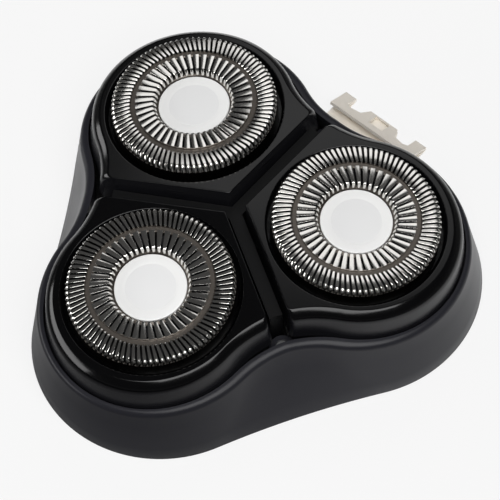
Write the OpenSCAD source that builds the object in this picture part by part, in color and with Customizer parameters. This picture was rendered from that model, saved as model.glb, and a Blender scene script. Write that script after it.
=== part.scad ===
// Rotary shaving head unit: three floating slotted foils in tilting petals,
// carried by a bridge plate inside a three-lobed skirt, with a stamped hinge
// bracket at the back. Origin on the skirt's rim plane, on the three-fold axis;
// +Z towards the skin, +Y towards the hinge bracket.

/* [Skirt] */
// Distance from the axis to the centre of each lobe at the rim
lobe_at = 15.3; // [15.2:0.05:15.5]
// Radius of each lobe at the rim
lobe_r = 18; // [17.8:0.05:18.2]
// Distance from the axis to each waist between two lobes at the rim
waist_at = 25.1; // [24.9:0.05:25.3]
// How far the wall leans in at the waists between the rim and the shoulder
waist_lean = 4.15; // [4:0.05:4.3]
// Wall thickness of the skirt
shell_wall = 1.4; // [1.2:0.1:1.5]
// Height of the shoulder's top above the rim, beside a foil's centre
shell_top = 11; // [10.9:0.05:11.1]
// Height at which the shoulder starts to round
shoulder_z = 10.05; // [10:0.05:10.1]
// Slope of the shoulder, down towards the end of each lobe
top_slope = 6.5; // [6.3:0.1:6.7]

/* [Heads] */
// Distance from the axis to the centre of each foil
head_at = 16.44; // [16.4:0.01:16.5]
// Outward tilt of each foil
head_tilt = 4.9; // [4.8:0.1:5]
// Height of the round plate in the middle of each foil
head_z = 16.05; // [16:0.05:16.1]
// Outer radius of a foil's wall
foil_r = 11.4; // [11.3:0.05:11.45]
// Slots in the outer track
outer_slots = 90; // [60:1:90]
// Slots in the inner track
inner_slots = 45; // [30:1:45]
// Width of a slot
slot_w = 0.27; // [0.2:0.01:0.3]
// Sheet thickness of a foil
foil_t = 0.35; // [0.3:0.05:0.35]
// Blades in each row of a cutter
blades = 15; // [9:1:15]

/* [Petals] */
// Half width of the channels between the petals
channel_half = 1.29; // [1.25:0.01:1.35]
// Height of the petals' lower edge
petal_bottom = 10.3; // [10.25:0.05:10.35]
// Height of a petal's top land above the foil's centre
petal_land = 15.15; // [15.1:0.05:15.2]
// Outward slope of the top land
land_tilt = 3.8; // [3.6:0.1:4]
// How much lower the land's outer end curves down than its slope alone
land_droop = 1.2; // [1:0.05:1.3]
// Radius of the rounded edge round the top land
land_round = 0.9; // [0.6:0.1:1]
// Distance from the axis to each petal's pivot pin
pivot_at = 3.3; // [3.2:0.1:3.4]
// Height of the pivot pins
pivot_z = 10.75; // [10.7:0.05:10.8]
// Radius of a pivot pin
pivot_r = 0.5; // [0.4:0.05:0.5]

/* [Hinge bracket] */
// Sheet thickness of the bracket
sheet = 0.45; // [0.4:0.05:0.5]
// Slope of its top plate
plate_slope = 25; // [24:1:26]
// Distance of the hinge's middle from the middle of the back wall
hinge_x = 1; // [0:0.1:1.2]
// Radius of the hinge pin
hinge_r = 0.65; // [0.6:0.05:0.7]

/* [Hidden] */
$fn = 96;
HEAD = [150, 30, 270];     // direction of each head
CHANNEL = [90, 210, 330];  // direction of each channel

hollow_z = 9.9;            // ceiling under the shoulder
deck_top = 7.6;
deck_bottom = 6.4;
boss_at = 18.8;            // bridge screws' distance from the axis
boss_r = 1.75;
rib_top = 13.45;           // top of the ribs in the channels
screw_r = 0.95;
foot_slope = 5;            // slope of the petals' lower edge
land_wide = 0.72;          // how far the land lies inside a petal's foot at the waists
opening_h = -2.35;         // underside of the lip that holds a foil
sleeve_h = -5.3;           // lower end of a petal's sleeve
sleeve_r = 12.45;
bore_r = 12;
ring_top = -4;
pin_y = 21.2;              // hinge pin's place
pin_z = 1.2;

// ---------- outlines ----------

function polar(r, a) = [r * cos(a), r * sin(a)];
function arc(c, r, a0, a1, n) = [for (i = [0:n]) c + polar(r, a0 + (a1 - a0) * i / n)];
function mix(a, b, t) = a + (b - a) * t;

// A three-lobed outline [lobe centre distance, lobe radius, waist distance]:
// the lobes are arcs, and blend arcs join them through the waists.
function blend_at(o) = let (k = o[1] - o[2]) (o[0] * o[0] - k * k) / (o[0] + 2 * k);
function blend_turn(o) =
    let (c = blend_at(o), q = c - o[2] + o[1])
    atan2(o[0] * sin(60) / q, (c - o[0] / 2) / q);
function trefoil(o, lobe_n = 30, blend_n = 10) =
    let (c = blend_at(o), b = c - o[2], f = blend_turn(o))
    [for (a = [30, 150, 270]) each concat(
        arc(polar(o[0], a), o[1], a - 60 - f, a + 60 + f, lobe_n),
        [for (j = [1:blend_n - 1])
            polar(c, a + 60) - polar(b, a + 60 + f * (1 - 2 * j / blend_n))]
    )];

// Half of a petal's outline in its channel's frame (x along the channel, y
// towards the petal): rounded corner, blend arc, then the lobe arc's half.
function petal_half(o, half, corner, corner_n = 5, blend_n = 5, lobe_n = 15) =
    let (
        c = blend_at(o), b = c - o[2], f = blend_turn(o),
        x = c - sqrt(pow(b + corner, 2) - pow(half + corner, 2)),
        y = half + corner,
        turn = atan2(y, c - x)
    )
    concat(
        arc([x, y], corner, -90, -turn, corner_n),
        [for (j = [1:blend_n - 1]) [c, 0] - polar(b, -mix(turn, f, j / blend_n))],
        arc(polar(o[0], 60), o[1], -f, 60, lobe_n)
    );
function turned(p, a) = [p.x * cos(a) - p.y * sin(a), p.x * sin(a) + p.y * cos(a)];
function flipped(list) = [for (i = [len(list) - 1:-1:0]) [list[i].x, -list[i].y]];

// A whole petal's outline, its lobe along +X.
function petal_outline(o, half, corner) =
    let (side = [for (p = petal_half(o, half, corner)) turned(p, -60)])
    concat([[half / sin(60), 0]], side, [for (i = [1:len(side) - 1]) flipped(side)[i]]);

// ---------- lofts ----------

// Joins rings of equally many points into one closed solid. The top is a fan
// round a peak if there is one, else strips between the two mirrored halves.
module loft(rings, peak = []) {
    n = len(rings[0]);
    last = (len(rings) - 1) * n;
    polyhedron(
        points = concat([for (r = rings) each r], peak),
        faces = concat(
            [[for (i = [0:n - 1]) i]],
            [for (k = [0:len(rings) - 2]) for (i = [0:n - 1]) each
                let (a = k * n + i, b = k * n + (i + 1) % n)
                [[a, a + n, b], [b, a + n, b + n]]],
            len(peak) > 0
                ? [for (i = [0:n - 1]) [last + (i + 1) % n, last + i, last + n]]
                : concat(
                    [[last + n - 1, last + 1, last]],
                    [for (i = [1:n / 2 - 2]) [n - i, n - i - 1, i + 1, i] + last * [1, 1, 1, 1]],
                    [[n / 2 + 1, n / 2, n / 2 - 1] + last * [1, 1, 1]]
                )
        ),
        convexity = 6
    );
}

function level(outline, z) = [for (p = outline) [p.x, p.y, z]];
// A petal's ring, sloping down away from the axis; its outer end droops further.
function sloped(outline, z, tilt, droop = 0) = [for (p = outline) let (x = p.x - head_at)
    [p.x, p.y, z - tan(tilt) * x - droop * pow(max(x, 0) / 13, 2)]];
// A whole three-lobed ring that slopes down towards the end of each lobe.
function reach(p) = max([for (a = [30, 150, 270]) p.x * cos(a) + p.y * sin(a)]);
function crown(p, z, tilt) = [p.x, p.y, z - tan(tilt) * (reach(p) - head_at)];
function crowned(outline, z, tilt) = [for (p = outline) crown(p, z, tilt)];

rim = [lobe_at, lobe_r, waist_at];
wall_top = [lobe_at + 0.2, lobe_r - 1.75, waist_at - waist_lean];
mouth = [16.1, 14.85, 19.65];          // opening in the shoulder
shoulder = [16.05, 15.1, 20];          // edge of the shoulder's flat top
deck = [15.45, 14.85, 20.4];           // bridge plate, just inside the wall
foot = [16.3, 14.5, 18.4];             // petals' lower edge
land = [16.12, 13.32, 17.4];
land_foot = land + [0, land_round, land_wide];

function skirt_at(z) = mix(rim, wall_top, min(1, z / shoulder_z));
function inset(o, d) = o - [0, d, d];

// ---------- placement ----------

module at_head(k) rotate([0, 0, HEAD[k]]) children();
// Frame of a foil: origin in the middle of its round plate, +Z out of the skin.
module head_frame() translate([head_at, 0, head_z]) rotate([0, head_tilt, 0]) children();
module ring_sector(r0, r1, z0, z1, a0, a1)
    rotate([0, 0, a0]) rotate_extrude(angle = a1 - a0)
        translate([r0, z0]) square([r1 - r0, z1 - z0]);

// ---------- housing ----------

module outer_shell() color("#26262a") {
    difference() {
        union() {
            difference() {
                loft([
                    level(trefoil(rim), 0),
                    crowned(trefoil(skirt_at(shoulder_z / 2)), shoulder_z / 2, top_slope / 2),
                    for (t = [0:22.5:90])
                        crowned(trefoil(mix(wall_top, shoulder, 1 - cos(t))),
                                mix(shoulder_z, shell_top, sin(t)), top_slope)
                ], [crown([0, 0], shell_top, top_slope)]);
                loft([
                    level(trefoil(inset(rim, shell_wall)), -0.01),
                    crowned(trefoil(inset(skirt_at(hollow_z), shell_wall)), hollow_z, top_slope)
                ], [crown([0, 0], hollow_z, top_slope)]);
                translate([0, 0, deck_top + 0.2]) linear_extrude(8) polygon(trefoil(mouth));
                // notch for the bracket's lower leg
                translate([hinge_x - 6.2, pin_y - 1, -1]) cube([12.4, 7, 4.2]);
            }
            // bosses for the bridge screws
            for (a = CHANNEL) rotate([0, 0, a]) translate([boss_at, 0, deck_top])
                cylinder(r = boss_r, h = 2.3);
            hinge_lug();
            front_catch();
        }
        for (a = CHANNEL) rotate([0, 0, a]) translate([boss_at, 0, deck_top - 1])
            cylinder(r = screw_r, h = 2.3);
        translate([hinge_x - 4, pin_y, pin_z]) rotate([0, 90, 0])
            cylinder(r = hinge_r + 0.02, h = 8);
    }
}

// Lug that holds the hinge pin, hung from the back wall above the notch.
module hinge_lug() translate([hinge_x - 2.7, 0, 0]) rotate([90, 0, 90]) linear_extrude(5.4)
    polygon([
        [pin_y - 1.2, 0.15], [pin_y + 1.1, 0.15], [pin_y + 1.1, 2.6],
        [22.8, 3.9], [22.4, 5.3], [pin_y - 1.2, 4.3]
    ]);

// Hook inside the front lobe that the handle's latch grips.
module front_catch()
    translate([-4, -(lobe_at + lobe_r - shell_wall) + 0.1, 0])
        rotate([90, 0, 90]) linear_extrude(8)
            polygon([[0, 4.6], [0, 1.9], [1.5, 2.9], [1.5, 3.4]]);

module bridge_plate() color("#1d1d20") {
    difference() {
        union() {
            difference() {
                translate([0, 0, deck_bottom]) linear_extrude(deck_top - deck_bottom)
                    polygon(trefoil(deck));
                for (k = [0:2]) at_head(k) head_frame()
                    translate([0, 0, -12]) cylinder(r = sleeve_r + 0.5, h = 10);
            }
            translate([0, 0, deck_bottom]) cylinder(r = 3.8, h = deck_top - deck_bottom);
            for (a = CHANNEL) rotate([0, 0, a]) translate([0, -0.9, deck_top - 0.5])
                cube([16.65, 1.8, rib_top - deck_top + 0.5]);
            for (k = [0:2]) at_head(k) for (s = [-1, 1]) pivot_lug(s);
        }
        for (k = [0:2]) at_head(k) translate([pivot_at, -3.75, pivot_z])
            rotate([-90, 0, 0]) cylinder(r = pivot_r + 0.02, h = 7.5);
        for (a = CHANNEL) rotate([0, 0, a]) translate([boss_at, 0, deck_bottom - 1])
            cylinder(r = screw_r + 0.1, h = 4);
    }
}

module pivot_lug(side) {
    y = side > 0 ? 1.7 : -3.9;
    translate([pivot_at, y, pivot_z]) rotate([-90, 0, 0]) cylinder(r = 1, h = 2.2);
    translate([pivot_at - 1, y, deck_bottom + 0.5]) cube([1.7, 2.2, pivot_z - deck_bottom - 0.5]);
}

// Three pan-head screws, up through the bridge into the shell's bosses.
module bridge_screws() color("#9a9a9a")
    for (a = CHANNEL) rotate([0, 0, a]) translate([boss_at, 0, 0]) difference() {
        union() {
            translate([0, 0, deck_bottom - 1]) cylinder(r = 1.5, h = 1);
            translate([0, 0, deck_bottom - 0.5]) cylinder(r = screw_r - 0.03, h = 2.9);
        }
        for (t = [0, 90]) rotate([0, 0, t]) translate([-0.9, -0.2, deck_bottom - 1.5])
            cube([1.8, 0.4, 1]);
    }

// Two bent leaves that push one petal's outer corners up.
module petal_springs(k) color("#b8b8b4")
    at_head(k) for (s = [-1, 1]) rotate([0, 0, -60 * s]) mirror([0, s < 0 ? 1 : 0, 0])
        translate([0, 2.4, 0]) rotate([90, 0, 0]) linear_extrude(1)
            polygon([
                [16.8, deck_top], [15.8, deck_top], [13.9, 10.7], [13.1, 10.7],
                [13.1, 10.9], [14, 10.9], [15.9, deck_top + 0.2], [16.8, deck_top + 0.2]
            ]);

module pivot_pin(k) color("#c4c4c4")
    at_head(k) translate([pivot_at, -3.7, pivot_z]) rotate([-90, 0, 0])
        cylinder(r = pivot_r, h = 7.4);

module hinge_pin() color("#c4c4c4")
    translate([hinge_x - 5.3, pin_y, pin_z]) rotate([0, 90, 0])
        cylinder(r = hinge_r, h = 10.6);

// ---------- petals ----------

module petal(k) color("#141416") at_head(k) {
    fillet = [for (t = [0:22.5:90]) t];
    difference() {
        union() {
            intersection() {
                union() {
                    loft([
                        sloped(petal_outline(foot, channel_half, 0.8), petal_bottom, foot_slope),
                        for (t = fillet)
                            sloped(petal_outline(
                                       mix(land_foot, land, 1 - cos(t)),
                                       channel_half + 0.15 * (1 - cos(t)), 0.8),
                                   petal_land - land_round * (1 - sin(t)),
                                   land_tilt, land_droop)
                    ]);
                    head_frame() translate([0, 0, sleeve_h])
                        cylinder(r = sleeve_r, h = 3.2);
                }
                translate([0, 0, 5]) linear_extrude(20)
                    polygon(petal_outline(foot + [0, 0.3, 0.3], channel_half, 0.8));
            }
            // knuckle on the pivot pin
            translate([pivot_at, -1.5, pivot_z]) rotate([-90, 0, 0]) cylinder(r = 1, h = 3);
            translate([pivot_at - 0.9, -1.5, pivot_z]) cube([1.8, 3, 1.2]);
        }
        petal_cavity();
        translate([pivot_at, -2, pivot_z]) rotate([-90, 0, 0])
            cylinder(r = pivot_r + 0.05, h = 4);
        // room for the bridge's pivot lugs
        for (y = [-4.3, 1.5]) translate([pivot_at, y, pivot_z]) rotate([-90, 0, 0])
            cylinder(r = 1.3, h = 2.8);
        head_frame() {
            translate([0, 0, opening_h - 1]) cylinder(r = foil_r + 0.3, h = 6);
            translate([0, 0, opening_h - 4]) cylinder(r = bore_r, h = 4);
            // countersink round the foil
            translate([0, 0, -1.5]) cylinder(r1 = foil_r + 0.3, r2 = foil_r + 1.1, h = 1.1);
        }
    }
    // ledges that the retaining ring's bayonet lugs sit on
    head_frame() for (a = [0, 120, 240])
        ring_sector(bore_r - 0.28, bore_r + 0.2, sleeve_h, ring_top - 0.65, a - 8, a + 8);
}

// Hollow between a petal's walls and its sleeve.
module petal_cavity() difference() {
    loft([
        sloped(petal_outline(inset(foot, 1.2), channel_half + 1.2, 0.4),
               petal_bottom - 1, foot_slope),
        sloped(petal_outline(inset(foot, 1.2), channel_half + 1.2, 0.4),
               petal_land - 1.4, land_tilt, land_droop)
    ]);
    head_frame() translate([0, 0, -8]) cylinder(r = sleeve_r, h = 12);
}

// ---------- shaving heads ----------

// Half section of a foil: round plate's seat, inner track, groove ring, outer
// track, wall and foot flange; then back along the inside.
function foil_section() = let (t = foil_t) [
    [0, -t], [4.95, -t], [5.02, 0], [5.2, 0.55], [5.6, 0.88], [7.65, 0.88], [7.8, 0.5],
    [8.55, 0.5], [8.7, 0.9], [10.95, 0.9], [11.25, 0.78], [foil_r, 0.45],
    [foil_r, -2.4], [foil_r + 0.5, -2.4], [foil_r + 0.5, -2.4 - t],
    [foil_r - t, -2.4 - t], [foil_r - t, 0.35], [10.85, 0.55], [8.95, 0.55],
    [8.75, 0.5 - t], [7.6, 0.5 - t], [7.4, 0.53], [5.8, 0.53], [5.5, 0.3],
    [5.35, -2 * t], [1.7, -2 * t], [1.7, -1.15], [0.9, -1.15], [0.9, -2 * t], [0, -2 * t]
];

module foil(k) color("#c9c9c6") at_head(k) head_frame() difference() {
    rotate_extrude() polygon(foil_section());
    for (i = [0:outer_slots - 1]) rotate([0, 0, 360 / outer_slots * i])
        translate([8.82, 0, -0.15]) rotate([0, 0, 11.5]) translate([0, -slot_w / 2, 0])
            cube([3, slot_w, 2]);
    for (i = [0:inner_slots - 1]) rotate([0, 0, 360 / inner_slots * i])
        translate([4.97, 0, 0.03]) rotate([0, 0, 9.6]) translate([0, -slot_w / 2, 0])
            cube([2.65, slot_w, 2]);
}

module foil_plate(k) color("#e4e4e2") at_head(k) head_frame()
    translate([0, 0, -foil_t]) {
        cylinder(r = 4.8, h = foil_t - 0.08);
        translate([0, 0, foil_t - 0.08]) cylinder(r1 = 4.8, r2 = 4.72, h = 0.08);
    }

// Stamped ring with two rows of upright blades that lean into the turn.
module cutter_blades(k) color("#aeb0b2") at_head(k) head_frame() {
    difference() {
        translate([0, 0, -2.6]) cylinder(r = 10.7, h = 0.5);
        translate([0, 0, -3]) cylinder(r = 2, h = 2);
        for (i = [0:5]) rotate([0, 0, 60 * i]) translate([4.1, 0, -3]) cylinder(r = 1.1, h = 2);
    }
    for (i = [0:blades - 1]) rotate([0, 0, 360 / blades * i]) {
        cutter_blade(9.05, 1.5, 0.5);
        rotate([0, 0, 180 / blades]) cutter_blade(6, 1.3, 0.48);
    }
}

module cutter_blade(r, length, top)
    translate([r, 0, 0]) rotate([90, 0, 90]) linear_extrude(length)
        polygon([[-0.9, -2.3], [-0.3, -2.3], [0.55, top], [0, top]]);

// Plastic hub with the socket for the handle's drive shaft.
module cutter_hub(k) color("#3a3a3e") at_head(k) head_frame() difference() {
    union() {
        translate([0, 0, -7.2]) cylinder(r = 3.3, h = 4.6);
        translate([0, 0, -3]) cylinder(r = 1.97, h = 1.5);
        translate([0, 0, -2.1]) cylinder(r = 2.6, h = 0.85);
        translate([0, 0, -1.5]) cylinder(r = 0.85, h = 0.7);
    }
    translate([0, 0, -8.2]) cylinder(r = 1.5, h = 4);
}

// Annulus that closes a head from below, with a bayonet and hair windows.
module retaining_ring(k) color("#2e2e32") at_head(k) head_frame() {
    difference() {
        translate([0, 0, sleeve_h - 0.1]) cylinder(r = bore_r - 0.4, h = ring_top - sleeve_h + 0.1);
        translate([0, 0, sleeve_h - 1]) cylinder(r = 6.6, h = 4);
        for (i = [0:8]) rotate([0, 0, 40 * i + 20]) translate([9.15, 0, sleeve_h - 1])
            cylinder(r = 1.3, h = 4);
    }
    for (a = [0, 120, 240])
        ring_sector(bore_r - 0.6, bore_r - 0.06, ring_top - 0.6, ring_top, a - 8, a + 8);
    // finger grips
    for (a = [80, 260]) rotate([0, 0, a]) translate([7, -0.5, sleeve_h - 1.1])
        cube([4, 1, 1.1]);
}

// ---------- hinge bracket ----------

// Stamped sheet: a sloping top plate whose ears are hemmed and folded back
// under it, a middle tab with a window, and two legs rolled round the hinge pin.
plate_y = 26.8;            // front edge of the top plate
plate_z = 2.4;
leg_z = 0.05;              // underside of the lower layer
// y at which the top plate runs into the hem
hem_y = plate_y + ((plate_z - leg_z - sheet) * cos(plate_slope) - sheet) / sin(plate_slope);

// Folded sheet seen from the side: top plate, hem, lower layer.
function folded_sheet() = let (hem = [hem_y, leg_z + sheet]) concat(
    [[plate_y, plate_z]],
    arc(hem, sheet, 90 - plate_slope, -90, 10),
    [
        [plate_y - 0.9, leg_z], [plate_y - 0.9, leg_z + sheet], hem,
        [plate_y - sheet * sin(plate_slope), plate_z - sheet * cos(plate_slope)]
    ]
);

// The same sheet seen from above: band, two ears and the middle tab.
function plan_right() = let (c = cos(plate_slope), far = hem_y + sheet + 1) [
    [7.2, 20], [7.2, far], [5.4, far], [5.4, plate_y + 1.75 * c],
    [4.7, plate_y + 1.4 * c], [3.1, plate_y + 1.7 * c], [2.4, plate_y + 3.3 * c]
];

module hinge_bracket() color("#cfc8bd") translate([hinge_x, 0, 0]) {
    difference() {
        intersection() {
            translate([-8, 0, 0]) rotate([90, 0, 90]) linear_extrude(16)
                polygon(folded_sheet());
            translate([0, 0, -1]) linear_extrude(6) polygon(concat(
                plan_right(),
                [for (i = [len(plan_right()) - 1:-1:0]) [-plan_right()[i].x, plan_right()[i].y]]
            ));
        }
        // window in the tab's top layer
        translate([-1.2, plate_y + 1, leg_z + sheet + 0.15]) cube([2.4, 1.7, 3]);
    }
    for (x = [-5.3, 2.9]) translate([x, 0, 0]) difference() {
        union() {
            translate([0, pin_y, pin_z]) rotate([0, 90, 0]) cylinder(r = pin_z - 0.05, h = 2.4);
            translate([0, pin_y, leg_z + 0.05]) cube([2.4, plate_y - 0.6 - pin_y, sheet - 0.1]);
        }
        translate([-1, pin_y, pin_z]) rotate([0, 90, 0]) cylinder(r = hinge_r + 0.05, h = 5);
    }
}

outer_shell();
bridge_plate();
bridge_screws();
hinge_pin();
hinge_bracket();
petal_springs(0);  // petal_springs_1
petal_springs(1);  // petal_springs_2
petal_springs(2);  // petal_springs_3
pivot_pin(0);  // pivot_pin_1
pivot_pin(1);  // pivot_pin_2
pivot_pin(2);  // pivot_pin_3
petal(0);  // petal_1
petal(1);  // petal_2
petal(2);  // petal_3
foil(0);  // foil_1
foil(1);  // foil_2
foil(2);  // foil_3
foil_plate(0);  // foil_plate_1
foil_plate(1);  // foil_plate_2
foil_plate(2);  // foil_plate_3
cutter_blades(0);  // cutter_blades_1
cutter_blades(1);  // cutter_blades_2
cutter_blades(2);  // cutter_blades_3
cutter_hub(0);  // cutter_hub_1
cutter_hub(1);  // cutter_hub_2
cutter_hub(2);  // cutter_hub_3
retaining_ring(0);  // retaining_ring_1
retaining_ring(1);  // retaining_ring_2
retaining_ring(2);  // retaining_ring_3
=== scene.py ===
"""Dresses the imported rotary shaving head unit: finishes, mouldings, foils, light and camera."""
import math

import bmesh
import bpy
from mathutils import Matrix, Vector

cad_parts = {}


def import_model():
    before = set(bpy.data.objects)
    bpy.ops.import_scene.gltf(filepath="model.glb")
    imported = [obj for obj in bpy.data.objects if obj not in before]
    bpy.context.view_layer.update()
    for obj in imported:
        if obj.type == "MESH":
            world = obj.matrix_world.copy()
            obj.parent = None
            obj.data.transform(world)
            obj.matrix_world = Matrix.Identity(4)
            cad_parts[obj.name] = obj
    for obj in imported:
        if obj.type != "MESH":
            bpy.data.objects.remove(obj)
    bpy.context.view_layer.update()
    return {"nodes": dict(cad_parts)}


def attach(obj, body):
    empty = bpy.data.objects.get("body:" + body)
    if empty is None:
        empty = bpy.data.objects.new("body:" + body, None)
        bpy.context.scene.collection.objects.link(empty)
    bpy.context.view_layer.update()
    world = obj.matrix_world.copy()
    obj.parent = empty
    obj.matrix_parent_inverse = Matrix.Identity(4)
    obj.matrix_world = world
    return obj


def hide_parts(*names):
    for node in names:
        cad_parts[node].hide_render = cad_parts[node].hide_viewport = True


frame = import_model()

# Pieces are shaped in millimetres, and piece() turns them to metres.
MM = 0.001

# Directions of the lobes round the axis, and of the channels between them, in degrees.
LOBES = (30, 150, 270)
CHANNELS = (90, 210, 330)

# Each foil's direction, then their distance from the axis, outward tilt and height.
HEADS = {1: 150, 2: 30, 3: 270}
HEAD_AT = 16.44
HEAD_TILT = 4.9
HEAD_Z = 16.05


# ---------------------------------------------------------------- materials

def colour(hex_code):
    """An sRGB hex colour as the linear RGBA that shaders take."""
    parts = [int(hex_code[i:i + 2], 16) / 255 for i in (1, 3, 5)]
    linear = [p / 12.92 if p <= 0.04045 else ((p + 0.055) / 1.055) ** 2.4 for p in parts]
    return (*linear, 1.0)


def add(tree, kind, inputs=None, **settings):
    """Adds a shader node. Inputs are values, or outputs of other nodes to link."""
    made = tree.nodes.new("ShaderNode" + kind)
    for key, value in settings.items():
        setattr(made, key, value)
    for key, value in (inputs or {}).items():
        if isinstance(value, bpy.types.NodeSocket):
            tree.links.new(value, made.inputs[key])
        else:
            made.inputs[key].default_value = value
    return made


def material(name):
    """An empty node material and its tree."""
    made = bpy.data.materials.new(name)
    made.use_nodes = True
    made.node_tree.nodes.clear()
    return made, made.node_tree


def finish_with(tree, shader):
    """Ends a material's tree in this shader."""
    tree.links.new(shader.outputs[0], add(tree, "OutputMaterial").inputs["Surface"])


def eroded_abs():
    """ABS moulded against a spark-eroded steel: a soft satin black with a very fine even grain."""
    made, tree = material("eroded_abs")
    place = add(tree, "TexCoord").outputs["Object"]
    grain = add(tree, "TexNoise", {"Vector": place, "Scale": 1 / (0.25 * MM), "Detail": 3.0})
    drift = add(tree, "TexNoise", {"Vector": place, "Scale": 1 / (9 * MM), "Detail": 2.0})
    rough = add(tree, "MapRange", {"Value": drift.outputs["Fac"], "To Min": 0.3, "To Max": 0.36})
    bump = add(tree, "Bump", {"Height": grain.outputs["Fac"], "Strength": 0.1, "Distance": 0.01 * MM})
    finish_with(tree, add(tree, "BsdfPrincipled", {
        "Base Color": colour("#242429"), "Roughness": rough.outputs["Result"],
        "IOR": 1.32, "Normal": bump.outputs["Normal"]}))
    return made


def polished_abs():
    """ABS from a mirror-polished mould: deep black gloss on top, softer down the sides, where a greyer
    colour is painted light on the sides.
    """
    made, tree = material("polished_abs")
    place = add(tree, "TexCoord").outputs["Object"]
    haze = add(tree, "TexNoise", {"Vector": place, "Scale": 1 / (4 * MM), "Detail": 2.0})
    gloss = add(tree, "MapRange", {"Value": haze.outputs["Fac"], "To Min": 0.13, "To Max": 0.16})
    facing = add(tree, "SeparateXYZ", {0: add(tree, "NewGeometry").outputs["Normal"]})
    side = add(tree, "MapRange", {"Value": facing.outputs["Z"], "From Min": 0.2, "From Max": 0.45,
                                  "To Min": 1.0, "To Max": 0.0})
    # painted light: the sides a lighter grey than the top, by which way they face
    painted_side_light = add(tree, "MixRGB", {0: side.outputs["Result"], 1: colour("#050506"), 2: colour("#17171a")})
    rough = add(tree, "Math", {0: side.outputs["Result"], 1: 0.12, 2: gloss.outputs["Result"]},
                operation="MULTIPLY_ADD")
    finish_with(tree, add(tree, "BsdfPrincipled", {
        "Base Color": painted_side_light.outputs[0], "Roughness": rough.outputs[0], "IOR": 1.42}))
    return made


def inner_moulding():
    """Plain moulded plastic of the parts under the covers: a flat black that swallows the light."""
    made, tree = material("inner_moulding")
    place = add(tree, "TexCoord").outputs["Object"]
    grain = add(tree, "TexNoise", {"Vector": place, "Scale": 1 / (0.4 * MM), "Detail": 2.0})
    bump = add(tree, "Bump", {"Height": grain.outputs["Fac"], "Strength": 0.1, "Distance": 0.02 * MM})
    finish_with(tree, add(tree, "BsdfPrincipled", {
        "Base Color": colour("#060607"), "Roughness": 0.5, "IOR": 1.3,
        "Normal": bump.outputs["Normal"]}))
    return made


def grained_metal(name, hex_code, rough, grain_mm, metal=1.0):
    """Bare metal whose fine grain varies its gloss. A low metal share gives a pale, pearly bloom."""
    made, tree = material(name)
    place = add(tree, "TexCoord").outputs["Object"]
    grain = add(tree, "TexNoise", {"Vector": place, "Scale": 1 / (grain_mm * MM), "Detail": 3.0})
    gloss = add(tree, "MapRange", {"Value": grain.outputs["Fac"],
                                   "To Min": rough * 0.75, "To Max": rough * 1.25})
    finish_with(tree, add(tree, "BsdfPrincipled", {
        "Base Color": colour(hex_code), "Metallic": metal, "Roughness": gloss.outputs["Result"]}))
    return made


SKIRT = eroded_abs()
PETAL = polished_abs()
INNER = inner_moulding()
# a thin bright line of light along every bar
BARS = grained_metal("electroformed_nickel", "#e2e0dc", 0.14, 0.3)
# painted shade: a dull warm grey ring, darkened for the shade in the groove, that sets off the bright bars
GROOVE_SHADE = grained_metal("groove_shade_nickel", "#6e6862", 0.42, 0.2)
# near-white satin with a soft sheen
DISC = grained_metal("spun_aluminium", "#f6f6f5", 0.5, 0.2, metal=0.1)
# painted shade: a dark wall, darkened for its shadow and the black petal it faces, that keeps the foil's
# foot out of sight
SHADED_FOIL_WALL = grained_metal("wall_shade_nickel", "#3a3836", 0.3, 0.3)
# painted shade: cutter steel made dark for the shade between the slots, with a faint glint
SLOT_SHADE_STEEL = grained_metal("slot_shade_blade_steel", "#1e1e20", 0.45, 0.2, metal=0.7)
# plain mid-grey rod and spring leaf
ROD = grained_metal("drawn_steel_rod", "#a8a8a8", 0.3, 0.2)
# the plate's middle, a shade flatter than its turned edge
FACE = grained_metal("etched_aluminium", "#efefef", 0.6, 0.2, metal=0.1)
# warm pale sheet with a soft even shine
SHEET = grained_metal("stamped_stainless", "#f8f1e6", 0.4, 0.3, metal=0.2)


# ---------------------------------------------------------------- outlines

def polar(radius, degrees):
    return Vector((radius * math.cos(math.radians(degrees)), radius * math.sin(math.radians(degrees))))


def arc(centre, radius, start, end, steps):
    return [Vector(centre) + polar(radius, start + (end - start) * i / steps) for i in range(steps + 1)]


def mix(a, b, t):
    return [x + (y - x) * t for x, y in zip(a, b)]


def inset(outline, distance):
    lobe_at, lobe_r, waist_at = outline
    return [lobe_at, lobe_r - distance, waist_at - distance]


def blend(outline):
    """Distance of a waist arc's centre, and the angle at which it meets the lobes."""
    lobe_at, lobe_r, waist_at = outline
    spare = lobe_r - waist_at
    centre = (lobe_at ** 2 - spare ** 2) / (lobe_at + 2 * spare)
    return centre, math.degrees(math.atan2(lobe_at * math.sin(math.pi / 3), centre - lobe_at / 2))


def trefoil(outline):
    """Three lobes joined through waists: [lobe centre, lobe radius, waist distance]."""
    lobe_at, lobe_r, waist_at = outline
    centre, turn = blend(outline)
    points = []
    for a in LOBES:
        points += arc(polar(lobe_at, a), lobe_r, a - 60 - turn, a + 60 + turn, 54)
        points += arc(polar(centre, a + 60), waist_at - centre, a + 60 + turn, a + 60 - turn, 22)[1:-1]
    return points


def petal_outline(outline, half, corner):
    """One petal of a trefoil, its lobe along +X, cut at half a channel's width: tip, channel
    side, rounded corner, waist, lobe, and back."""
    lobe_at, lobe_r, waist_at = outline
    centre, turn = blend(outline)
    hollow = centre - waist_at
    x = centre - math.sqrt((hollow + corner) ** 2 - (half + corner) ** 2)
    meets = math.degrees(math.atan2(half + corner, centre - x))
    tip = Vector((half / math.sin(math.pi / 3), 0))
    side = arc((x, half + corner), corner, -90, -meets, 8)
    side += [Vector((centre, 0)) - polar(hollow, -meets - (turn - meets) * j / 14) for j in range(1, 14)]
    side += arc(polar(lobe_at, 60), lobe_r, -turn, 60, 34)
    side = [p @ Matrix.Rotation(math.radians(60), 2) for p in side]
    run = [tip.lerp(side[0], i / 24) for i in range(24)]
    half_way = run + side
    return half_way + [Vector((p.x, -p.y)) for p in half_way[-2:0:-1]]


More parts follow.
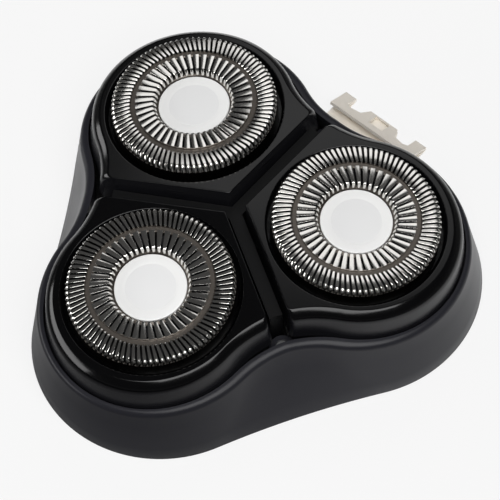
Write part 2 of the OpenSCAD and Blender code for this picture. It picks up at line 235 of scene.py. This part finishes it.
# ---------------------------------------------------------------- mesh helpers

def loop(bm, points):
    """A closed loop of edges through the points."""
    verts = [bm.verts.new(p) for p in points]
    return [bm.edges.new(pair) for pair in zip(verts, verts[1:] + verts[:1])]


def loft(bm, rings, closed=False):
    """Skins loops of equally many points, in order."""
    loops = [loop(bm, ring) for ring in rings]
    for a, b in zip(loops, loops[1:] + (loops[:1] if closed else [])):
        bmesh.ops.bridge_loops(bm, edges=a + b)
    return loops


def face_outwards(bm, verts):
    """Recalculates the normals of the faces at these vertices, and returns the faces."""
    faces = list({f for v in verts for f in v.link_faces})
    bmesh.ops.recalc_face_normals(bm, faces=faces)
    return faces


def spun(bm, section, steps=96):
    """Turns a closed section of (radius, height) about the axis; points on the axis are closed."""
    before = set(bm.verts)
    edges = loop(bm, [(r, 0, h) for r, h in section])
    verts = list({v for e in edges for v in e.verts})
    bmesh.ops.spin(bm, geom=verts + edges, cent=(0, 0, 0), axis=(0, 0, 1),
                   angle=math.tau, steps=steps, use_merge=True)
    new = [v for v in bm.verts if v not in before]
    bmesh.ops.remove_doubles(bm, verts=new, dist=1e-5)
    new = [v for v in new if v.is_valid]
    face_outwards(bm, new)
    return new


def prism(bm, section, x0, x1):
    """A bar along X with the section given as (y, z)."""
    edges = loop(bm, [(x0, y, z) for y, z in section])
    face = bmesh.ops.contextual_create(bm, geom=edges)["faces"]
    grown = bmesh.ops.extrude_face_region(bm, geom=face)["geom"]
    verts = [v for v in grown if isinstance(v, bmesh.types.BMVert)]
    bmesh.ops.translate(bm, vec=(x1 - x0, 0, 0), verts=verts)
    face_outwards(bm, list({v for e in edges for v in e.verts}) + verts)


def soften(bm, edges, width, segments):
    """Rounds a loop of edges."""
    bmesh.ops.bevel(bm, geom=edges, affect="EDGES", offset=width, segments=segments,
                    profile=0.5, material=-1)


def piece(name, bm, body, finish, nodes=(), place=None, sharp=32):
    """Makes the finished object of a mesh in millimetres, and ties it to its body."""
    if place:
        bmesh.ops.transform(bm, matrix=place, verts=bm.verts)
    bmesh.ops.scale(bm, vec=(MM, MM, MM), verts=bm.verts)
    mesh = bpy.data.meshes.new(name)
    bm.to_mesh(mesh)
    bm.free()
    for face in mesh.polygons:
        face.use_smooth = True
    mesh.set_sharp_from_angle(angle=math.radians(sharp))
    mesh.materials.append(finish)
    made = bpy.data.objects.new(name, mesh)
    bpy.context.scene.collection.objects.link(made)
    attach(made, body)
    if nodes:
        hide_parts(*nodes)


# ---------------------------------------------------------------- skirt

# Trefoils of the skirt, from its lower rim up to its mouth: distance from the axis to a lobe's
# centre, lobe radius, and distance from the axis to a waist.
RIM = [15.3, 18, 25.1]
WALL_TOP = [15.5, 16.25, 20.95]
SHOULDER = [16.05, 15.1, 20]
MOUTH = [16.1, 14.85, 19.65]
# Heights of the shoulder's start and top beside a foil's centre, and the top's slope in degrees.
SHOULDER_Z, SHELL_TOP, TOP_SLOPE = 10.05, 11, 6.5
# Height of the mouth's lower edge, then the wall's thickness just under it and further down.
MOUTH_FOOT, LEDGE_WALL, SHELL_WALL = 8.4, 1.8, 1.4
# Middle of the bracket's hinge along X, and half the width and the height of its window.
HINGE_X, WINDOW_HALF, WINDOW_TOP = 1, 6.2, 3.2
# Distance of the screw bosses from the axis, and a boss's section as (radius, z).
BOSS_AT = 18.8
BOSS = [(0.95, 7.6), (1.6, 7.6), (1.75, 7.75), (1.75, 8.9), (1.6, 9.05), (0.95, 9.05)]
# Sections as (y, z) of the block that holds the hinge pin and of the hook for the handle's latch.
HINGE_BLOCK = [(20, 0.15), (22.3, 0.15), (22.3, 2.6), (22.8, 3.9), (22.4, 5.3), (20, 4.3)]
LATCH_HOOK = [(-31.8, 4.6), (-31.8, 1.9), (-30.3, 2.9), (-30.3, 3.4)]


def crowned(outline, z, slope):
    """A ring that slopes down towards the end of each lobe."""
    ring = []
    for p in trefoil(outline):
        reach = max(p.dot(polar(1, a)) for a in LOBES)
        ring.append((p.x, p.y, z - math.tan(math.radians(slope)) * (reach - HEAD_AT)))
    return ring


def wall(z, inward=0):
    """A ring of the wall at a height, moved inwards."""
    return crowned(inset(mix(RIM, WALL_TOP, z / SHOULDER_Z), inward), z, TOP_SLOPE * z / SHOULDER_Z)


def skirt():
    """The three-lobed shell: drawn-in wall, rounded shoulder, mouth, and the open underside."""
    bm = bmesh.new()
    lower_edge = [wall(0, 0.25), wall(0.08, 0.07)]
    outside = [wall(z) for z in (0.25, 2.5, 5.03, 7.5, SHOULDER_Z)]
    quarter = [math.radians(9 * i) for i in range(1, 11)]
    rounded = [crowned(mix(WALL_TOP, SHOULDER, 1 - math.cos(t)),
                       SHOULDER_Z + (SHELL_TOP - SHOULDER_Z) * math.sin(t), TOP_SLOPE) for t in quarter]
    mouth = [crowned(MOUTH, z, TOP_SLOPE) for z in (SHELL_TOP, MOUTH_FOOT)]
    inside = [wall(8, LEDGE_WALL), wall(5, SHELL_WALL), wall(0, SHELL_WALL)]
    loft(bm, lower_edge + outside + rounded + mouth + inside, closed=True)
    bmesh.ops.recalc_face_normals(bm, faces=bm.faces)
    cut_window(bm, HINGE_X - WINDOW_HALF, HINGE_X + WINDOW_HALF, WINDOW_TOP)
    for a in CHANNELS:
        boss = spun(bm, BOSS, 32)
        bmesh.ops.translate(bm, vec=(*polar(BOSS_AT, a), 0), verts=boss)
    prism(bm, HINGE_BLOCK, HINGE_X - 2.7, HINGE_X + 2.7)
    prism(bm, LATCH_HOOK, -4, 4)
    piece("skirt", bm, "housing", SKIRT, ["outer_shell"])


def cut_window(bm, left, right, top):
    """Cuts the bracket's window out of the back wall, and closes the cut edges of the wall."""
    back = 18
    for at, way in (((left, 0, 0), (1, 0, 0)), ((right, 0, 0), (1, 0, 0)), ((0, 0, top), (0, 0, 1))):
        near = [f for f in bm.faces if f.calc_center_median().y > back]
        geom = near + list({e for f in near for e in f.edges}) + list({v for f in near for v in f.verts})
        bmesh.ops.bisect_plane(bm, geom=geom, plane_co=at, plane_no=way, dist=1e-4)
    gone = [f for f in bm.faces if f.calc_center_median().y > back
            and left < f.calc_center_median().x < right and f.calc_center_median().z < top]
    bmesh.ops.delete(bm, geom=gone, context="FACES")
    for x in (left, right):
        edges = [e for e in bm.edges if e.is_boundary and all(abs(v.co.x - x) < 0.001 for v in e.verts)]
        corners = [v for v in {v for e in edges for v in e.verts} if abs(v.co.z - top) < 0.001]
        bmesh.ops.edgeloop_fill(bm, edges=edges + [bm.edges.new(corners)])
    bmesh.ops.edgeloop_fill(bm, edges=[e for e in bm.edges if e.is_boundary])
    bmesh.ops.recalc_face_normals(bm, faces=bm.faces)


# ---------------------------------------------------------------- petal covers

# Trefoils of a cover's crease, of its lower edge, and of the hollow under its land.
CREASE = [16.5, 12.85, 17.4]
BASE = [16.1, 14.65, 18.9]
HOLLOW = [16.3, 13.3, 17.2]
# Half width of a channel between the creases, between the lower edges, and between the hollows.
CHANNEL_TOP, CHANNEL_FOOT, CHANNEL_HOLLOW = 1.44, 1.18, 2.49
# How much a channel's half width narrows for each millimetre down the shoulder.
CHANNEL_DRAFT = 0.03
# Radius of a cover's outer corners by a channel, and of the hollow's.
CORNER_R, HOLLOW_CORNER_R = 0.8, 0.4
# Height of the land above a foil's centre, its slope in degrees, and its droop 13 mm further out.
LAND_Z, LAND_TILT, LAND_DROOP = 15.15, 3.8, 0.35
LAND_THICK = 1.4
# Height of the lower edge beside a foil's centre, and its slope in degrees.
FOOT_Z, FOOT_SLOPE = 10.3, 5
# The shoulder below the crease, in steps of (degrees off straight down, length).
SHOULDER_STEPS = ((0, 0), (55, 0.2), (52, 0.3), (48, 0.3), (43, 0.25), (35, 0.25), (26, 0.25),
                  (17, 0.25), (10, 0.25))
# Radii of the opening round a foil, and of the sleeve's inside and outside.
OPENING_R, BORE_R, SLEEVE_R = 11.7, 12, 12.45
# Heights from the foil's plate: countersink's foot, lip's underside, sleeve's lower end.
SINK_FOOT_H, LIP_H, SLEEVE_H = -1.5, -2.35, -5.3
# How much the countersink widens, and over what height.
SINK_WIDER, SINK_DEEP = 0.8, 1.1
# Room between the sleeve and the hollow's wall, where they come closest.
HOLLOW_ROOM = 0.25
# Place of the pivot pin, and the section of the knuckle on it as (radius, distance along the pin).
PIVOT_AT, PIVOT_Z = 3.3, 10.75
KNUCKLE = [(0.55, -1.5), (0.9, -1.5), (1, -1.4), (1, 1.4), (0.9, 1.5), (0.55, 1.5)]


def land_z(x, drop=0.0):
    """Height of a cover's land at a distance from the axis."""
    x -= HEAD_AT
    return LAND_Z - drop - math.tan(math.radians(LAND_TILT)) * x - LAND_DROOP * (max(x, 0) / 13) ** 2


def under_land(points, drop):
    """A ring that follows the land, lower by the drop."""
    return [(p.x, p.y, land_z(p.x, drop)) for p in points]


def at_foot(points):
    """A ring at the cover's sloping lower edge."""
    return [(p.x, p.y, FOOT_Z - math.tan(math.radians(FOOT_SLOPE)) * (p.x - HEAD_AT)) for p in points]


def shoulder_rings():
    """Rings from the crease outwards and down."""
    rings, out, down = [], 0, 0
    for lean, length in SHOULDER_STEPS:
        out += length * math.sin(math.radians(lean))
        down += length * math.cos(math.radians(lean))
        outline = petal_outline(inset(CREASE, -out), CHANNEL_TOP - CHANNEL_DRAFT * down, CORNER_R)
        rings.append(under_land(outline, down if length else 0))
    return rings


def petal(k):
    """A glossy cover: drawn-in wall, wide shoulder up to a crease, countersunk opening and sleeve."""
    bm = bmesh.new()
    turn = math.radians(HEAD_TILT)
    rings = [at_foot(petal_outline(BASE, CHANNEL_FOOT, CORNER_R)), *shoulder_rings()[::-1]]
    crease_ring = len(rings) - 1
    crease = [Vector(p) for p in rings[crease_ring]]
    ways = [math.atan2(y, x - HEAD_AT) for x, y, _ in rings[crease_ring]]
    local = Matrix.Translation((HEAD_AT, 0, HEAD_Z)) @ Matrix.Rotation(turn, 4, "Y")

    def circle(radius, h):
        return [local @ Vector((radius * math.cos(a), radius * math.sin(a), h)) for a in ways]

    sink, sink_foot, ceiling = [], [], []
    for a in ways:
        # where the countersink meets the land, found by a few rounds of correction
        h = -0.9
        for _ in range(6):
            radius = OPENING_R + SINK_WIDER * max(h - SINK_FOOT_H, 0) / SINK_DEEP
            x = radius * math.cos(a)
            h = (land_z(HEAD_AT + x * math.cos(turn) + h * math.sin(turn)) - HEAD_Z
                 + x * math.sin(turn)) / math.cos(turn)
        sink.append(local @ Vector((x, radius * math.sin(a), h)))
        sink_foot.append(local @ Vector((OPENING_R * math.cos(a), OPENING_R * math.sin(a),
                                         min(SINK_FOOT_H, h - 0.05))))
        ceiling.append(local @ Vector((SLEEVE_R * math.cos(a), SLEEVE_R * math.sin(a), h - LAND_THICK)))
    # the hollow bulges round the sleeve, which leans in a little below the foil
    sleeve_axis = Vector((HEAD_AT - 0.3, 0))
    hollow = []
    for p in petal_outline(HOLLOW, CHANNEL_HOLLOW, HOLLOW_CORNER_R):
        out = p - sleeve_axis
        hollow.append(p + out.normalized() * max(0, SLEEVE_R + HOLLOW_ROOM - out.length))
    # rings close to both edges keep the land flat between them
    for near in (0.2, 0.5):
        rings.append([p.lerp(q, min(0.3, near / (q - p).length)) for p, q in zip(crease, sink)])
    rings.append([p.lerp(q, max(0.7, 1 - 0.12 / (q - p).length)) for p, q in zip(crease, sink)])
    sink_ring = len(rings)
    rings += [sink, sink_foot, circle(OPENING_R, LIP_H), circle(BORE_R, LIP_H), circle(BORE_R, SLEEVE_H),
              circle(SLEEVE_R, SLEEVE_H), ceiling, under_land(hollow, LAND_THICK), at_foot(hollow)]
    loops = loft(bm, rings, closed=True)
    bmesh.ops.recalc_face_normals(bm, faces=bm.faces)
    soften(bm, loops[crease_ring], 0.1, 3)
    soften(bm, loops[sink_ring], 0.06, 2)
    knuckle = spun(bm, KNUCKLE, 24)
    bmesh.ops.rotate(bm, cent=(0, 0, 0), matrix=Matrix.Rotation(math.pi / 2, 3, "X"), verts=knuckle)
    bmesh.ops.translate(bm, vec=(PIVOT_AT, 0, PIVOT_Z), verts=knuckle)
    place = Matrix.Rotation(math.radians(HEADS[k]), 4, "Z")
    piece(f"cover_{k}", bm, f"petal_{k}", PETAL, [f"petal_{k}"], place)


# ---------------------------------------------------------------- shaving foils

# Slots in each row, the radius at which they start, and their slant in degrees.
OUTER_ROW = (90, 8.82, 11.5)
INNER_ROW = (45, 4.97, 9.6)
SLOT = 0.27
# Tops of the bars from the inner end out, as (radius, height, roundness).
OUTER_BARS = [(8.5, 0.5, 0.7), (8.54, 0.76, 0.6), (8.62, 0.87, 0.4), (8.8, 0.9, 0.15),
              (10.5, 0.9, 0.15), (10.78, 0.86, 0.5), (11.0, 0.7, 0.9),
              (11.17, 0.42, 0.95), (11.22, -0.2, 0.95)]
INNER_BARS = [(5.02, 0.02, 0.7), (5.16, 0.5, 0.7), (5.34, 0.8, 0.5), (5.6, 0.88, 0.1),
              (7.9, 0.88, 0.1)]
# How deep a bar's straight flank reaches, and how far its top is rounded at roundness 1.
BAR_DEPTH, BAR_ROUND = 0.13, 0.2
# Sections as (radius, height from the plate).
PLATE_SEAT = [(0, -0.7), (5.35, -0.7), (5.5, 0), (5.12, 0.1), (4.97, -0.05), (4.93, -0.36), (0, -0.36)]
GROOVE_RING = [(7.6, 0.3), (7.68, 0.72), (7.8, 0.8), (7.88, 0.76), (7.92, 0.6), (8.48, 0.6),
               (8.54, 0.7), (8.64, 0.6), (8.64, 0.15), (7.7, 0.15)]
FLANGED_WALL = [(11.2, -0.15), (11.22, -2.4), (11.9, -2.4), (11.9, -2.75), (10.87, -2.75), (10.87, -0.15)]
PLATE = [(0, -0.03), (3.4, -0.03), (3.5, -0.02), (3.65, 0), (3.75, 0), (4.6, 0), (4.7, -0.01),
         (4.78, -0.06), (4.8, -0.12), (4.8, -0.34), (0, -0.34)]
PLATE_MIDDLE = [(0, -0.01), (3.3, -0.01), (3.36, -0.015), (3.36, -0.05), (0, -0.05)]


def head_place(k):
    """Frame of foil k: origin in the middle of its round plate, +Z out of the skin."""
    return (Matrix.Rotation(math.radians(HEADS[k]), 4, "Z")
            @ Matrix.Translation((HEAD_AT, 0, HEAD_Z))
            @ Matrix.Rotation(math.radians(HEAD_TILT), 4, "Y"))


def bar_row(bm, row, profile):
    """A ring of slanted bars that leaves the slots open between them, rounder where they bend."""
    count, start, slant = row
    slant = math.radians(slant)
    before = set(bm.verts)
    along = Vector((math.cos(slant), math.sin(slant), 0))
    across = Vector((-math.sin(slant), math.cos(slant), 0))
    rings = []
    for i, (r, h, soft) in enumerate(profile):
        ahead, behind = profile[min(i + 1, len(profile) - 1)], profile[max(i - 1, 0)]
        run = math.sqrt(r * r - (start * math.sin(slant)) ** 2) - start * math.cos(slant)
        lean = math.asin(start * math.sin(slant) / r)
        wide = (math.tau * r / count * math.cos(lean) - SLOT) / 2
        up = (Vector((0, 0, ahead[0] - behind[0])) - along * (ahead[1] - behind[1])).normalized()
        at = Vector((start, 0, h)) + along * run
        side = [(wide, -BAR_DEPTH)]
        side += [(wide - wide * soft * (1 - math.cos(t)), -BAR_ROUND * soft * (1 - math.sin(t)))
                 for t in map(math.radians, (0, 45, 90))]
        rings.append([at + across * way * out + up * rise
                      for way, part in ((1, side), (-1, side[::-1])) for out, rise in part])
    ends = loft(bm, rings)
    for edges in (ends[0], ends[-1]):
        bmesh.ops.edgeloop_fill(bm, edges=edges)
    bar = [v for v in bm.verts if v not in before]
    faces = face_outwards(bm, bar)
    edges = list({e for v in bar for e in v.link_edges})
    bmesh.ops.spin(bm, geom=bar + edges + faces, cent=(0, 0, 0), axis=(0, 0, 1),
                   angle=math.tau * (count - 1) / count, steps=count - 1, use_duplicate=True)


def shaving_foil(k):
    """The slotted foil: the plate's seat, a groove ring, a flanged wall, and two rows of bars."""
    body, place = f"foil_{k}", head_place(k)
    bm = bmesh.new()
    spun(bm, PLATE_SEAT)
    spun(bm, GROOVE_RING)
    # the plate's seat and groove ring take the painted groove shade
    piece(f"foil_rings_{k}", bm, body, GROOVE_SHADE, [f"foil_{k}"], place)
    bm = bmesh.new()
    spun(bm, FLANGED_WALL)
    # the flanged wall takes the painted shade
    piece(f"foil_wall_{k}", bm, body, SHADED_FOIL_WALL, place=place)
    bm = bmesh.new()
    bar_row(bm, OUTER_ROW, OUTER_BARS)
    bar_row(bm, INNER_ROW, INNER_BARS)
    piece(f"foil_bars_{k}", bm, body, BARS, place=place, sharp=18)


def round_plate(k):
    """The bare turned disc in the middle of a foil, and its flatter middle."""
    body, place = f"foil_{k}", head_place(k)
    bm = bmesh.new()
    spun(bm, PLATE)
    piece(f"disc_{k}", bm, body, DISC, [f"foil_plate_{k}"], place)
    bm = bmesh.new()
    spun(bm, PLATE_MIDDLE)
    piece(f"disc_face_{k}", bm, body, FACE, place=place)


skirt()
for k in HEADS:
    petal(k)
    shaving_foil(k)
    round_plate(k)


# ---------------------------------------------------------------- finishes of the CAD parts

# The first start of a name that fits gives the finish, and other parts are inner mouldings.
CAD_FINISHES = {
    "petal_springs": ROD,
    "pivot_pin": ROD,
    "hinge_pin": ROD,
    "bridge_screws": ROD,
    "petal_": PETAL,
    "outer_shell": SKIRT,
    "foil_plate": DISC,
    "foil_": BARS,
    # the cutters take the painted slot shade
    "cutter_blades": SLOT_SHADE_STEEL,
    "hinge_bracket": SHEET,
}
for name, node in frame["nodes"].items():
    finish = next((f for start, f in CAD_FINISHES.items() if name.startswith(start)), INNER)
    node.data.materials.clear()
    node.data.materials.append(finish)


# ---------------------------------------------------------------- stage

def pale_floor():
    """Matt pale card that glows evenly to the eye. The gloss on the object sees a card whose colour is
    painted shade towards the front and far away, a painted pool of light round the object, so that its
    walls keep their black."""
    finish, tree = material("pale_floor")
    path = add(tree, "LightPath")
    place = add(tree, "TexCoord").outputs["Object"]
    along = add(tree, "SeparateXYZ", {0: place})
    # painted shade towards the front and a painted pool of light round the object, in the card that the
    # gloss sees
    dim = add(tree, "MapRange", {"Value": along.outputs["Y"], "From Min": -42 * MM, "From Max": -8 * MM,
                                 "To Min": 0.15, "To Max": 1.0})
    away = add(tree, "VectorMath", {0: place}, operation="LENGTH")
    pool = add(tree, "MapRange", {"Value": away.outputs["Value"], "From Min": 60 * MM, "From Max": 90 * MM,
                                  "To Min": 1.0, "To Max": 0.15})
    lit = add(tree, "Math", {0: dim.outputs["Result"], 1: pool.outputs["Result"]}, operation="MULTIPLY")
    card = add(tree, "BsdfDiffuse", {"Color": lit.outputs[0]})
    matt = add(tree, "BsdfDiffuse", {"Color": colour("#f4f4f4")})
    glow = add(tree, "Emission", {"Color": colour("#f5f5f5"), "Strength": 1.04})
    seen = add(tree, "MixShader", {0: 0.85, 1: matt.outputs[0], 2: glow.outputs[0]})
    finish_with(tree, add(tree, "MixShader", {0: path.outputs["Is Camera Ray"], 1: card.outputs[0],
                                              2: seen.outputs[0]}))
    return finish


def floor():
    """A wide plain floor under the rim."""
    bm = bmesh.new()
    bmesh.ops.create_grid(bm, x_segments=1, y_segments=1, size=3)
    mesh = bpy.data.meshes.new("floor")
    bm.to_mesh(mesh)
    bm.free()
    mesh.materials.append(pale_floor())
    made = bpy.data.objects.new("floor", mesh)
    bpy.context.scene.collection.objects.link(made)


def soft_box(name, towards, elevation, size, power, distance=1.0):
    """A rectangular lamp in a compass direction, aimed at the object."""
    flat = polar(distance * math.cos(math.radians(elevation)), towards)
    at = Vector((*flat, distance * math.sin(math.radians(elevation))))
    lamp = bpy.data.lights.new(name, "AREA")
    lamp.shape = "RECTANGLE"
    lamp.size, lamp.size_y = size
    lamp.energy = power
    made = bpy.data.objects.new(name, lamp)
    made.location = at
    made.rotation_mode = "QUATERNION"
    made.rotation_quaternion = (-at).to_track_quat("-Z", "Y")
    bpy.context.scene.collection.objects.link(made)


def camera():
    """Looks down on the front lobes from 60 degrees, with a long lens."""
    azimuth, elevation, roll = (math.radians(a) for a in (45.16, 60.05, -4.86))
    distance, rightwards, upwards, aim_z = 399.75, 2.167, -6.18, 16.06
    back = Vector((math.sin(azimuth) * math.cos(elevation),
                   -math.cos(azimuth) * math.cos(elevation), math.sin(elevation)))
    level = Vector((math.cos(azimuth), math.sin(azimuth), 0))
    rise = back.cross(level)
    right = level * math.cos(roll) + rise * math.sin(roll)
    up = rise * math.cos(roll) - level * math.sin(roll)
    at = (right * rightwards + up * upwards + back * distance + Vector((0, 0, aim_z))) * MM
    lens = bpy.data.cameras.new("camera")
    lens.sensor_width = 36
    lens.lens = 218.3
    lens.clip_start, lens.clip_end = 0.05, 20
    made = bpy.data.objects.new("camera", lens)
    made.matrix_world = Matrix.LocRotScale(
        at, Matrix((right, up, back)).transposed().to_quaternion(), None)
    bpy.context.scene.collection.objects.link(made)
    bpy.context.scene.camera = made


def world():
    """A dim room that pales towards the horizon, and is plain and pale to the eye."""
    made = bpy.data.worlds.new("studio")
    made.use_nodes = True
    tree = made.node_tree
    tree.nodes.clear()
    path = add(tree, "LightPath")
    way = add(tree, "SeparateXYZ", {0: add(tree, "TexCoord").outputs["Generated"]})
    fade = add(tree, "MapRange", {"Value": way.outputs["Z"], "From Min": 0.0, "From Max": 0.3,
                                  "To Min": 0.12, "To Max": 0.05}, interpolation_type="SMOOTHSTEP")
    light = add(tree, "Background", {"Color": colour("#ffffff"), "Strength": fade.outputs["Result"]})
    seen = add(tree, "Background", {"Color": colour("#f5f5f5"), "Strength": 1.0})
    both = add(tree, "MixShader", {0: path.outputs["Is Camera Ray"], 1: light.outputs[0],
                                   2: seen.outputs[0]})
    tree.links.new(both.outputs[0], add(tree, "OutputWorld").inputs["Surface"])
    bpy.context.scene.world = made


floor()
camera()
world()
soft_box("key", 122, 50, (0.42, 0.42), 0.6)
soft_box("front_top", 332, 66, (0.8, 0.9), 10.0)
soft_box("left_box", 222, 12, (1.15, 0.35), 5.0)
bpy.context.scene.view_settings.view_transform = "Standard"
